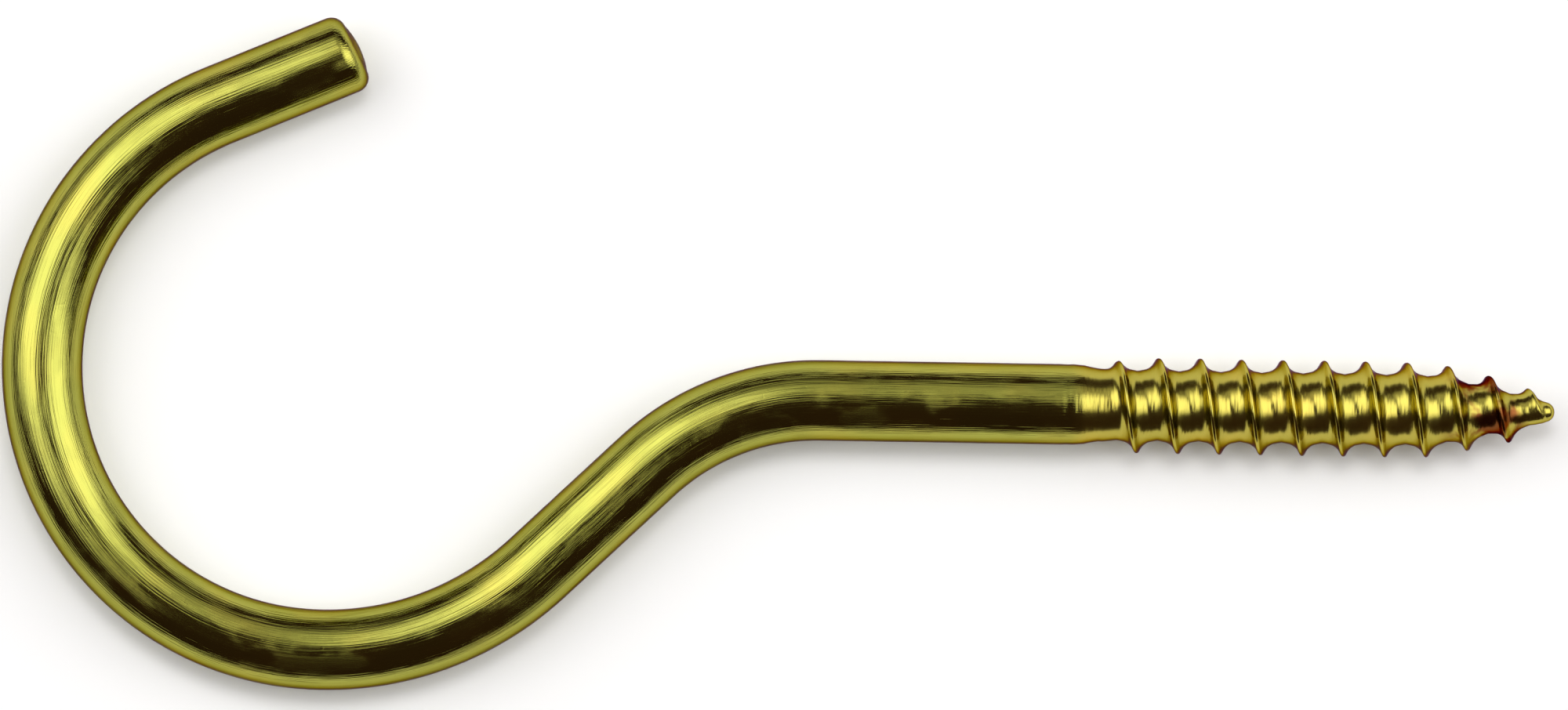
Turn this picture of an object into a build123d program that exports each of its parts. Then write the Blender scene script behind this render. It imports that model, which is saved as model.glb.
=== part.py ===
from build123d import *
from math import cos, pi, radians, sin, tan
import os

# Screw-in cup hook, bent from one length of round wire. It lies flat: the wire's centreline
# is in the XY plane, +Z is up, and the screw thread runs along +X to its point. The origin is
# on the screw's axis where the thread begins, which is the face of the wood once it is driven
# home. Sizes are in millimetres and angles in degrees.

# Wire
wire_diameter = 4.0
end_chamfer = 0.4

# Centreline of the wire, from the thread to the open end of the hook
shank_length = 13.1
neck_radius = 12.3
neck_angle = 43.7
diagonal_length = 7.4
lead_in_radius = 15.3
lead_in_angle = 49.5
hook_radius = 14.0
hook_angle = 151.2
stub_length = 7.0

# Rolled wood thread and its gimlet point
thread_length = 23.3
pitch = 2.05
crest_diameter = 4.75
root_diameter = 3.45
ridge_base = 0.72
run_out_length = 1.5
climb_length = 1.2
first_crest = 1.6
point_half_angle = 12.5
nose_radius = 0.5
fade_length = 1.3

# Worked out from the sizes above. The point is a cone that touches the round nose.
wire_radius = wire_diameter / 2
root_radius = root_diameter / 2
ridge_height = (crest_diameter - root_diameter) / 2
point_slope = tan(radians(point_half_angle))
nose_start = thread_length - nose_radius * (1 - sin(radians(point_half_angle)))
nose_start_radius = nose_radius * cos(radians(point_half_angle))
point_start = nose_start - (root_radius - nose_start_radius) / point_slope

# The ridge's foot is sunk in the core, and its two ends dip just under the core's surface
ridge_sink = 0.2
ridge_dip = 0.05
ridge_start = run_out_length / 2
ridge_end = nose_start - ridge_base / 2
points_per_turn = 8


def core_radius(x):
    """Radius of the core under the ridge: the run-out cone, the straight root, then the point."""
    if x < run_out_length:
        return wire_radius + (root_radius - wire_radius) * x / run_out_length
    if x < point_start:
        return root_radius
    return root_radius - point_slope * (x - point_start)


def crest_radius(x):
    """Radius of the ridge's top, which climbs out of the run-out and fades away at the point."""
    climbing = (x - ridge_start) / climb_length
    fading = (ridge_end - x) / fade_length
    share = max(0, min(climbing, fading, 1))
    return core_radius(x) - ridge_dip + (ridge_height + ridge_dip) * share


def foot_radius(x):
    """Radius of the ridge's foot, under the surface of the core."""
    return core_radius(x) - ridge_sink


def ridge_edge(radius_at, offset):
    """One edge of the ridge: a right-handed helix about +X, offset along X from its middle."""
    steps = round((ridge_end - ridge_start) / pitch * points_per_turn)
    shares = [step / steps for step in range(steps + 1)]
    points = []
    for share in shares:
        x = ridge_start + (ridge_end - ridge_start) * share
        turn = 2 * pi * (x - first_crest) / pitch
        points.append((x + offset, radius_at(x) * cos(turn), radius_at(x) * sin(turn)))
    return Edge.make_spline(points, parameters=shares)


def ridge():
    """The ridge of the thread, a sharp V in section, with each face ruled between two edges."""
    section = [
        ridge_edge(foot_radius, -ridge_base / 2),
        ridge_edge(crest_radius, 0),
        ridge_edge(foot_radius, ridge_base / 2),
    ]
    faces = []
    for edge, next_edge in zip(section, section[1:] + section[:1]):
        faces.append(Face.make_surface_from_curves(edge, next_edge))
    for end in (0, 1):
        faces.append(Face(Wire.make_polygon([edge @ end for edge in section])))
    return Solid(Shell(faces))


def threaded_length(whole_ridge, start, end):
    """One straight-sided length of the core, with its stretch of the ridge and, last, the nose."""
    with BuildPart() as length:
        add(whole_ridge)
        split(bisect_by=Plane.YZ.offset(start), keep=Keep.TOP)
        split(bisect_by=Plane.YZ.offset(end), keep=Keep.BOTTOM)
        with BuildSketch(Plane.XY):
            with BuildLine():
                side = Line((start, core_radius(start)), (end, core_radius(end)))
                if end == nose_start:
                    nose = RadiusArc(side @ 1, (thread_length, 0), nose_radius)
                    Polyline(nose @ 1, (start, 0), side @ 0)
                else:
                    Polyline(side @ 1, (end, 0), (start, 0), side @ 0)
            make_face()
        revolve(axis=Axis.X)
    return length.part


whole_ridge = ridge()
stations = [0, run_out_length, point_start, nose_start]

with BuildPart() as cup_hook:
    # Screw end: run-out, straight thread and gimlet point
    for start, end in zip(stations, stations[1:]):
        add(threaded_length(whole_ridge, start, end))

    # Bent wire
    with BuildLine():
        shank = Line((0, 0), (-shank_length, 0))
        neck = JernArc(shank @ 1, shank % 1, neck_radius, neck_angle)
        diagonal = Line(neck @ 1, neck @ 1 + diagonal_length * (neck % 1))
        lead_in = JernArc(diagonal @ 1, diagonal % 1, lead_in_radius, -lead_in_angle)
        hook = JernArc(lead_in @ 1, lead_in % 1, hook_radius, -hook_angle)
        stub = Line(hook @ 1, hook @ 1 + stub_length * (hook % 1))
    with BuildSketch(Plane.YZ):
        Circle(wire_radius)
    sweep()

    # Cut end of the wire, with its burr taken off
    open_end = cup_hook.faces().filter_by(GeomType.PLANE).sort_by_distance(stub @ 1)[0]
    chamfer(open_end.edges(), end_chamfer)

cup_hook.part.label = "cup_hook"
os.makedirs("parts", exist_ok=True)
export_step(cup_hook.part, "parts/cup_hook.step")
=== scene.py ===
from math import atan, atan2, copysign, cos, hypot, pi, radians, sin, tan

import bmesh
import bpy
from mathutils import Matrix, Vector, noise


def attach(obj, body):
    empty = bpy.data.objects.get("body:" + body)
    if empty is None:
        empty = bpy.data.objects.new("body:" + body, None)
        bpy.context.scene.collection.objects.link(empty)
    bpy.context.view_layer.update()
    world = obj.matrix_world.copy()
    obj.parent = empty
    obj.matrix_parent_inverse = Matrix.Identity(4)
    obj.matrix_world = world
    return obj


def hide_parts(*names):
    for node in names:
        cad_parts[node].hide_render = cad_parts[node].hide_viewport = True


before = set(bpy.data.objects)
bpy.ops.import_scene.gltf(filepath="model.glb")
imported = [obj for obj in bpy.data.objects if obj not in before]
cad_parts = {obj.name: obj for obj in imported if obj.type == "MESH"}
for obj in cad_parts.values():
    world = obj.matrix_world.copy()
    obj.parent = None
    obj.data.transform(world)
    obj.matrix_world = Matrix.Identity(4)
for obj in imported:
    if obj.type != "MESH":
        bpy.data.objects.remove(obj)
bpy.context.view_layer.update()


# Bent wire of the cup hook: one length of 4 mm brass wire, drawn round and smooth. It is bent
# cold in three curves, the neck, the lead-in and the hook itself, and its open end is sheared
# off a little out of square and tumbled until the edge is round.
wire_radius = 0.0020
wire_sides = 64
shank_length = 0.0131
shank_steps = 12
neck_radius = 0.0123
neck_angle = radians(43.7)
neck_steps = 24
diagonal_length = 0.0074
diagonal_steps = 6
lead_in_radius = 0.0153
lead_in_angle = radians(49.5)
lead_in_steps = 28
hook_radius = 0.0140
hook_angle = radians(151.2)
hook_steps = 72
stub_length = 0.0070
stub_steps = 6
end_round = 0.00075
end_round_steps = 8
out_of_square = radians(4.0)
# The end is a low dome: how far ahead each of its rings is, and its share of the one before
dome_rings = ((0.00007, 0.80), (0.00006, 0.70), (0.00004, 0.50), (0.00002, 0.40))
# The rolling dies have pressed a shoulder and a shallow groove into the wire beside the thread:
# how far along each ring is, and its radius
bitten_radius = 0.001952
die_rings = (
    (0.00020, 0.001968),
    (0.00040, 0.001986),
    (0.00058, 0.001998),
    (0.00072, 0.001990),
    (0.00086, 0.001986),
    (0.00100, 0.001995),
    (0.00116, 0.002000),
)
bitten_length = die_rings[-1][0]

# Each stretch is remembered as it is drawn: its start, its heading there, its length and turn
stretches = []


def ahead(heading):
    """A step of one metre in the hook's own plane."""
    return Vector((cos(heading), sin(heading), 0))


def draw_in(place, next_place, share):
    """Extrudes the open ring from its place to the next and scales it there. Gives that place."""
    bpy.ops.mesh.extrude_region_move(TRANSFORM_OT_translate={"value": next_place - place})
    bpy.ops.transform.resize(value=(share, share, share), center_override=next_place)
    return next_place


def run_straight(place, heading, length, steps):
    """Draws the wire on in a straight line. Gives the place where it ends."""
    for _ in range(steps):
        bpy.ops.mesh.extrude_region_move(
            TRANSFORM_OT_translate={"value": ahead(heading) * length / steps}
        )
    stretches.append((place, heading, length, 0))
    return place + ahead(heading) * length


def bend_round(place, heading, radius, turn, steps):
    """Bends the wire round, to the left where the turn is positive. Gives its place and heading."""
    centre = place + radius * ahead(heading + copysign(pi / 2, turn))
    bpy.ops.mesh.spin(steps=steps, angle=-turn, center=centre, axis=(0, 0, 1))
    stretches.append((place, heading, radius * abs(turn), turn))
    next_heading = heading + turn
    return centre - radius * ahead(next_heading + copysign(pi / 2, turn)), next_heading


bpy.ops.object.select_all(action="DESELECT")
bpy.ops.mesh.primitive_circle_add(
    vertices=wire_sides, radius=bitten_radius, fill_type="NOTHING", rotation=(0, pi / 2, 0)
)
hook = bpy.context.object
hook.name = "brass_wire_hook"
bpy.ops.object.transform_apply(location=True, rotation=True, scale=True)
bpy.ops.object.mode_set(mode="EDIT")
bpy.ops.mesh.select_all(action="SELECT")

place = Vector((0, 0, 0))
heading = pi
ring_radius = bitten_radius
stretches.append((place, heading, bitten_length, 0))
for along, radius in die_rings:
    place = draw_in(place, ahead(heading) * along, radius / ring_radius)
    ring_radius = radius
place = run_straight(place, heading, shank_length - bitten_length, shank_steps)
place, heading = bend_round(place, heading, neck_radius, neck_angle, neck_steps)
place = run_straight(place, heading, diagonal_length, diagonal_steps)
place, heading = bend_round(place, heading, lead_in_radius, -lead_in_angle, lead_in_steps)
place, heading = bend_round(place, heading, hook_radius, -hook_angle, hook_steps)
place = run_straight(place, heading, stub_length - end_round / 2, stub_steps)

# Sheared end: the last ring is turned out of square, then drawn in round the tumbled edge. With
# no window open, the rotate operator turns the other way.
bpy.ops.transform.rotate(
    value=-out_of_square, orient_axis="Z", orient_type="GLOBAL", center_override=place
)
heading += out_of_square
for step in range(end_round_steps):
    before = pi / 2 * step / end_round_steps
    after = pi / 2 * (step + 1) / end_round_steps
    next_place = place + ahead(heading) * end_round * (sin(after) - sin(before))
    next_radius = wire_radius - end_round * (1 - cos(after))
    place = draw_in(place, next_place, next_radius / ring_radius)
    ring_radius = next_radius
for along, share in dome_rings:
    place = draw_in(place, place + ahead(heading) * along, share)
bpy.ops.mesh.merge(type="CENTER")
bpy.ops.object.mode_set(mode="OBJECT")


# Screw of the cup hook: a wood thread rolled into the same wire, right-handed, with a thin sharp
# ridge on a narrower core, and a gimlet point. The ridge climbs out of the full wire in about
# half a turn, where the rolling dies let go, and fades into the round nose.
pitch = 0.00205
root_radius = 0.001725
ridge_height = 0.00065
ridge_base = 0.00066
ridge_top = 0.00012
root_rise = 0.00014
foot_round = 0.00032
foot_round_steps = 7
top_round = 0.00005
top_round_steps = 4
flank_cuts = 2
first_crest = 0.0016
turns_before = 2
turns = 15
steps_a_turn = 64
shoulder = 0.00012
run_out_radius = 0.001945
run_out_length = 0.0019
ridge_start = 0.00075
climb_length = 0.0012
point_start = 0.01733
point_angle = radians(12.5)
point_ease = 0.0006
fade_end = 0.02290
fade_length = 0.0012
nose_middle = 0.0228
nose_radius = 0.0005
nose_start = nose_middle + nose_radius * sin(point_angle)
nose_close = radians(84)
nose_steps = 7
rolling_uneven = 0.00003
uneven_scale = 700
weld_distance = 0.000002
ring_reach = 0.000003
cut_tolerance = 0.0000001
smooth_angle = radians(50)

# Outline of one turn: how far along from the ridge's middle, and how far out from the root
ridge_middle = first_crest - turns_before * pitch
ridge_outline = (
    (ridge_base / 2, root_rise),
    (ridge_top / 2, ridge_height),
    (-ridge_top / 2, ridge_height),
    (-ridge_base / 2, root_rise),
    (-pitch / 2, 0),
)

# It is drawn as a line from a single corner, in the plane of the axis and +Y
bpy.ops.object.select_all(action="DESELECT")
bpy.ops.mesh.primitive_plane_add(
    size=ridge_base, location=(ridge_middle + pitch / 2, root_radius, 0)
)
screw = bpy.context.object
bpy.ops.object.transform_apply(location=True, rotation=True, scale=True)
bpy.ops.object.mode_set(mode="EDIT")
bpy.ops.mesh.select_all(action="SELECT")
bpy.ops.mesh.merge(type="CENTER")
corner = Vector((pitch / 2, 0, 0))
for along, out in ridge_outline:
    next_corner = Vector((along, out, 0))
    bpy.ops.mesh.extrude_region_move(TRANSFORM_OT_translate={"value": next_corner - corner})
    corner = next_corner


def pick(piece, mode, wanted):
    """Selects the vertices or edges of a piece in edit mode for which wanted is true."""
    mesh = bmesh.from_edit_mesh(piece.data)
    bpy.ops.mesh.select_mode(type=mode)
    bpy.ops.mesh.select_all(action="DESELECT")
    parts = {"VERT": mesh.verts, "EDGE": mesh.edges}[mode]
    for part in parts:
        part.select_set(wanted(part))
    mesh.select_flush_mode()
    bmesh.update_edit_mesh(piece.data)


def on_top(vertex):
    """True for the corners of the ridge's top."""
    return vertex.co.y > root_radius + ridge_height / 2


def at_foot(vertex):
    """True for the corners where the ridge meets the root."""
    return not on_top(vertex) and abs(vertex.co.x - ridge_middle) < ridge_base


def is_flat(edge):
    """True for the flanks of the ridge and the root between, but not for the rounds."""
    return edge.calc_length() > ridge_base / 3


def on_ring(edge, x, reach):
    """True for an edge of an open ring that goes round the screw's axis within reach of x."""
    return edge.is_boundary and all(abs(vertex.co.x - x) < reach for vertex in edge.verts)


pick(screw, "VERT", on_top)
bpy.ops.mesh.bevel(offset=top_round, segments=top_round_steps, affect="VERTICES")
pick(screw, "VERT", at_foot)
bpy.ops.mesh.bevel(offset=foot_round, segments=foot_round_steps, affect="VERTICES")
pick(screw, "EDGE", is_flat)
bpy.ops.mesh.subdivide(number_cuts=flank_cuts)
bpy.ops.object.mode_set(mode="OBJECT")

winding = screw.modifiers.new("winding", "SCREW")
winding.axis = "X"
winding.angle = 2 * pi
winding.screw_offset = pitch
winding.iterations = turns
winding.steps = steps_a_turn
bpy.ops.object.modifier_apply(modifier=winding.name)


def core_at(x):
    """Radius of the core under the ridge: out of the full wire, along the root, then the point."""
    if x < run_out_length:
        share = max(0, x / run_out_length)
        return run_out_radius + (root_radius - run_out_radius) * share * (2 - share)
    past = x - point_start
    eased = (past + hypot(past, point_ease)) / 2
    return root_radius - tan(point_angle) * eased


def ridge_at(x):
    """Share of the ridge's height, which climbs out of the wire and fades at the nose."""
    return max(0, min((x - ridge_start) / climb_length, (fade_end - x) / fade_length, 1))


# The winding is straight so far. It is drawn in to the run-out and the point, and its ridge is
# made slightly uneven.
for vertex in screw.data.vertices:
    x, y, z = vertex.co
    reach = hypot(y, z)
    uneven = rolling_uneven * noise.noise(vertex.co * uneven_scale)
    rise = (reach - root_radius) * ridge_at(x) * (1 + uneven / ridge_height)
    share = (core_at(x) + rise) / reach
    vertex.co = (x, y * share, z * share)

# Its two ends are cut off square, at the shoulder and where the nose starts
bpy.ops.object.mode_set(mode="EDIT")
bpy.ops.mesh.select_all(action="SELECT")
bpy.ops.mesh.remove_doubles(threshold=weld_distance)
bpy.ops.mesh.select_all(action="SELECT")
bpy.ops.mesh.bisect(
    plane_co=(shoulder, 0, 0), plane_no=(1, 0, 0), clear_inner=True, threshold=cut_tolerance
)
bpy.ops.mesh.select_all(action="SELECT")
bpy.ops.mesh.bisect(
    plane_co=(nose_start, 0, 0), plane_no=(1, 0, 0), clear_outer=True, threshold=cut_tolerance
)

# Nose: the open end of the point is drawn in over a small round
pick(screw, "EDGE", lambda edge: on_ring(edge, nose_start, ring_reach))
place = Vector((nose_start, 0, 0))
for step in range(nose_steps):
    before = point_angle + (nose_close - point_angle) * step / nose_steps
    after = point_angle + (nose_close - point_angle) * (step + 1) / nose_steps
    next_place = place + Vector((nose_radius * (sin(after) - sin(before)), 0, 0))
    place = draw_in(place, next_place, cos(after) / cos(before))
bpy.ops.mesh.merge(type="CENTER")
bpy.ops.object.mode_set(mode="OBJECT")

# Screw and wire are one length of metal: the two open rings at the shoulder are bridged
bpy.ops.object.select_all(action="DESELECT")
screw.select_set(True)
hook.select_set(True)
bpy.context.view_layer.objects.active = hook
bpy.ops.object.join()
bpy.ops.object.mode_set(mode="EDIT")
pick(hook, "EDGE", lambda edge: on_ring(edge, shoulder / 2, shoulder))
bpy.ops.mesh.bridge_edge_loops()
bpy.ops.mesh.select_mode(type="VERT")
bpy.ops.mesh.select_all(action="SELECT")
bpy.ops.mesh.normals_make_consistent(inside=False)
bpy.ops.object.mode_set(mode="OBJECT")
bpy.ops.object.shade_smooth_by_angle(angle=smooth_angle)

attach(hook, "root")
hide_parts("cup_hook")


# Brass finish: bright drawn metal with the fine lines of the drawing die along the wire, and
# soft dents and nicks from tumbling. The thread is warmer and duller, with marks round it from
# rolling and a red-brown stain near its point, and the sheared end is a little coarser.
bright_brass = (0.390, 0.393, 0.076, 1)
warm_brass = (0.55, 0.435, 0.076, 1)
stained_brass = (0.20, 0.07, 0.02, 1)
# The metal turns brown where it is seen edge-on
edge_brass = (0.16, 0.06, 0.22, 1)
# Places along the wire, which count from the shoulder and are below 0 on the thread
rolled_from = 0.0009
rolled_full = -0.0002
stain_from = -0.0172
stain_full = -0.0190
stain_fades = -0.0212
stain_ends = -0.0223
# Distances from the screw's axis, over which the ridge is rubbed bright
rubbed_from = 0.00195
rubbed_full = 0.0023
# Distances past the last straight ring, over which the grain of the sheared end begins
sheared_from = 0.0002
sheared_full = 0.0006
# The relief of the finish is written in hundredths of a millimetre
relief_unit = 0.00001
# A point further than this from the middle line of a stretch belongs to another stretch
stretch_reach = wire_radius * 1.3


def drawn_place(point):
    """Where a point of the wire was before it was bent: along the wire, across it, and up."""
    if point.x >= shoulder / 2:
        return Vector((-point.x, -point.y, point.z))
    far = 0
    found = []
    for start, direction, length, turn in stretches:
        forward = ahead(direction)
        left = ahead(direction + pi / 2)
        away = point - start
        along = away.dot(forward)
        across = away.dot(left)
        if turn:
            bend = length / turn
            spoke = away - left * bend
            outward = -spoke.dot(left) * copysign(1, bend)
            along = abs(bend) * atan2(spoke.dot(forward), outward)
            across = (abs(bend) - hypot(spoke.x, spoke.y)) * copysign(1, bend)
        over = max(0, -along, along - length) + max(0, abs(across) - stretch_reach)
        found.append((over, far + along, across))
        far += length
    _, along, across = min(found)
    return Vector((along, across, point.z))


drawn = hook.data.attributes.new("drawn", "FLOAT_VECTOR", "POINT")
for vertex in hook.data.vertices:
    drawn.data[vertex.index].vector = drawn_place(vertex.co)
wire_length = sum(length for start, direction, length, turn in stretches)


class Channel:
    """A shader socket. Arithmetic on it adds Math nodes, and node() adds any other node."""

    def __init__(self, tree, socket=None):
        self.tree = tree
        self.socket = socket

    def node(self, kind, settings, values):
        """Adds a node with its settings, then gives its sockets their values or links."""
        made = self.tree.nodes.new(kind)
        for name, setting in settings.items():
            setattr(made, name, setting)
        for name, value in values.items():
            if isinstance(value, Channel):
                self.tree.links.new(value.socket, made.inputs[name])
            else:
                made.inputs[name].default_value = value
        shown = [output for output in made.outputs if output.enabled]
        return Channel(self.tree, shown[0] if shown else None)

    def output(self, name):
        """Another output of the node that this socket is on."""
        return Channel(self.tree, self.socket.node.outputs[name])

    def math(self, operation, first, second):
        """One Math node."""
        return self.node("ShaderNodeMath", {"operation": operation}, {0: first, 1: second})

    def __add__(self, other):
        return self.math("ADD", self, other)

    __radd__ = __add__

    def __sub__(self, other):
        return self.math("SUBTRACT", self, other)

    def __rsub__(self, other):
        return self.math("SUBTRACT", other, self)

    def __mul__(self, other):
        return self.math("MULTIPLY", self, other)

    __rmul__ = __mul__


def new_material(name):
    """A material without nodes, and a channel from which its nodes are added."""
    material = bpy.data.materials.new(name)
    material.use_nodes = True
    material.node_tree.nodes.clear()
    return material, Channel(material.node_tree)


brass, brass_nodes = new_material("drawn_brass")
attribute = brass_nodes.node("ShaderNodeAttribute", {"attribute_name": "drawn"}, {})
place_drawn = attribute.output("Vector")


def stretched(along, across):
    """The drawn place, scaled to so many grains a metre along the wire and across it."""
    return place_drawn.node(
        "ShaderNodeVectorMath", {"operation": "MULTIPLY"}, {0: place_drawn, 1: (along, across, across)}
    )


def grain(where, detail):
    """A noise pattern between 0 and 1."""
    return where.node("ShaderNodeTexNoise", {}, {"Vector": where, "Scale": 1, "Detail": detail})


def from_to(value, low, high):
    """0 where the value is at low, 1 where it is at high, and smooth between."""
    return value.node(
        "ShaderNodeMapRange",
        {"interpolation_type": "SMOOTHSTEP"},
        {"Value": value, "From Min": low, "From Max": high},
    )


def mixed(share, first, second):
    """The first colour where the share is 0, and the second where it is 1."""
    return share.node(
        "ShaderNodeMix", {"data_type": "RGBA"}, {"Factor": share, "A": first, "B": second}
    )


along_wire = place_drawn.node("ShaderNodeSeparateXYZ", {}, {"Vector": place_drawn}).output("X")
in_section = stretched(0, 1)
from_axis = in_section.node("ShaderNodeVectorMath", {"operation": "LENGTH"}, {0: in_section})

rolled = from_to(along_wire, rolled_from, rolled_full)
drawn_smooth = 1 - rolled
rubbed = from_to(from_axis, rubbed_from, rubbed_full) * rolled
sheared = from_to(along_wire, wire_length + sheared_from, wire_length + sheared_full)
stained_turns = from_to(along_wire, stain_from, stain_full) * from_to(
    along_wire, stain_ends, stain_fades
)

die_lines = grain(stretched(90, 5200), 2)
hair_lines = grain(stretched(220, 15000), 2)
waves = grain(stretched(420, 520), 1)
dents = grain(stretched(1500, 1500), 2)
nicks = from_to(grain(stretched(3400, 3400), 1), 0.66, 0.74)
rolled_grain = grain(stretched(3600, 500), 2)
tone = grain(stretched(260, 420), 3)
dull_spots = from_to(grain(stretched(450, 900), 2), 0.50, 0.66) * drawn_smooth
stains = from_to(grain(stretched(700, 800), 3), 0.42, 0.58) * stained_turns

height = (
    die_lines * drawn_smooth * 0.55
    + hair_lines * drawn_smooth * 1.7
    + waves * 1.6
    + dents * 0.35
    - nicks * 0.10
    + rolled_grain * (rolled + sheared * 0.2) * 4.0
)
relief = height.node(
    "ShaderNodeBump", {}, {"Strength": 1, "Distance": relief_unit, "Height": height}
)
warmth = from_to(tone, 0.42, 0.75) * (0.35 + rolled * 0.1) + rolled * 0.55
colour = mixed(stains, mixed(warmth, bright_brass, warm_brass), stained_brass)
roughness = (
    0.07
    + die_lines * 0.04
    + tone * 0.04
    + dull_spots * 0.13
    + rolled * 0.11
    - rubbed * 0.04
    + sheared * 0.12
)

finish = brass_nodes.node(
    "ShaderNodeBsdfPrincipled",
    {},
    {
        "Base Color": colour,
        "Roughness": roughness,
        "Metallic": 1,
        "Specular Tint": edge_brass,
        "Normal": relief,
    },
)
brass_nodes.node("ShaderNodeOutputMaterial", {}, {"Surface": finish})
hook.data.materials.append(brass)


# Floor: a plain white sheet. The screw's first full crest and the far side of the hook rest on
# it, so it slopes up by the little that the crests stand proud of the wire.
crest_radius = root_radius + ridge_height
rest_crest = 0.0031
rest_far = -0.05165
slope = atan((crest_radius - wire_radius) / (rest_crest - rest_far))
floor_size = 1.2
floor_white = (0.92, 0.92, 0.92, 1)
floor_roughness = 0.9
# The camera and the metal see the sheet a little whiter than its lamps make it
floor_whitening = 0.10

bpy.ops.object.select_all(action="DESELECT")
bpy.ops.mesh.primitive_plane_add(
    size=floor_size, location=(rest_crest, 0, -crest_radius), rotation=(0, slope, 0)
)
floor = bpy.context.object
floor.name = "floor"

paper, paper_nodes = new_material("white_sheet")
rays = paper_nodes.node("ShaderNodeLightPath", {}, {})
seen = rays.math("MAXIMUM", rays.output("Is Camera Ray"), rays.output("Is Glossy Ray"))
seen = rays.math("MAXIMUM", seen, rays.output("Is Transmission Ray"))
surface = paper_nodes.node(
    "ShaderNodeBsdfPrincipled",
    {},
    {
        "Base Color": floor_white,
        "Roughness": floor_roughness,
        "Emission Color": seen * floor_whitening,
        "Emission Strength": 1,
    },
)
paper_nodes.node("ShaderNodeOutputMaterial", {}, {"Surface": surface})
floor.data.materials.append(paper)


# Light: two long soft boxes over the table, to the right and to the left of the camera, and a
# dim one behind it, each brightest in its middle. One more lamp lights the sheet and gives the
# hook its soft shadow, and the metal doesn't show it.
table_middle = Vector((-0.01491, 0.00222, 0))
lamp_distance = 0.65
# Each box is three lamps, one just in front of the other: their shares of its length and width
box_shares = (1.0, 0.78, 0.55)
layer_gap = 0.004
# The dark bands on the metal show the dim room
room_colour = (0.036, 0.019, 0.018, 1)


def hang_lamp(name, distance, azimuth, tilt, length, width, level):
    """Hangs a lamp that faces the hook, its length along the arc of its tilt. Level 1 is white."""
    lamp = bpy.data.lights.new(name, "AREA")
    lamp.shape = "RECTANGLE"
    lamp.size = length
    lamp.size_y = width
    lamp.energy = level * pi * length * width
    hung = bpy.data.objects.new(name, lamp)
    bpy.context.scene.collection.objects.link(hung)
    out = ahead(radians(azimuth)) * sin(radians(tilt)) + Vector((0, 0, cos(radians(tilt))))
    hung.location = table_middle + out * distance
    hung.rotation_euler = (0, radians(tilt), radians(azimuth))
    return hung


def soft_box(name, azimuth, near_tilt, far_tilt, half_width, level):
    """Hangs the three lamps of a box that fades to its edges. Its reach is given in degrees."""
    length = 2 * lamp_distance * tan(radians(far_tilt - near_tilt) / 2)
    width = 2 * lamp_distance * tan(radians(half_width))
    for layer, share in enumerate(box_shares):
        hang_lamp(
            name=f"{name}_{layer}",
            distance=lamp_distance - layer * layer_gap,
            azimuth=azimuth,
            tilt=(near_tilt + far_tilt) / 2,
            length=length * share,
            width=width * share,
            level=level / len(box_shares),
        )


soft_box("right_box", azimuth=14, near_tilt=7, far_tilt=78, half_width=26, level=2.4)
soft_box("left_box", azimuth=156, near_tilt=9, far_tilt=70, half_width=30, level=2.4)
soft_box("back_box", azimuth=86, near_tilt=27, far_tilt=58, half_width=27, level=0.56)
sheet_lamp = hang_lamp(
    "sheet_lamp", lamp_distance, azimuth=86, tilt=18, length=0.16, width=0.20, level=9.5
)
sheet_lamp.visible_glossy = False

room = bpy.data.worlds.new("room")
bpy.context.scene.world = room
room.use_nodes = True
room.node_tree.nodes["Background"].inputs["Color"].default_value = room_colour


# Camera: straight above the table, with a long lens, turned by the little that the screw is off
# level in the picture.
picture_width = 0.07768
long_lens = 300
sensor_width = 36
camera_height = picture_width * long_lens / sensor_width
camera_turn = radians(0.93)

camera_data = bpy.data.cameras.new("camera")
camera_data.lens = long_lens
camera_data.sensor_width = sensor_width
camera = bpy.data.objects.new("camera", camera_data)
bpy.context.scene.collection.objects.link(camera)
camera.location = table_middle + Vector((0, 0, camera_height))
camera.rotation_euler = (0, 0, camera_turn)
bpy.context.scene.camera = camera
bpy.context.scene.view_settings.view_transform = "Standard"
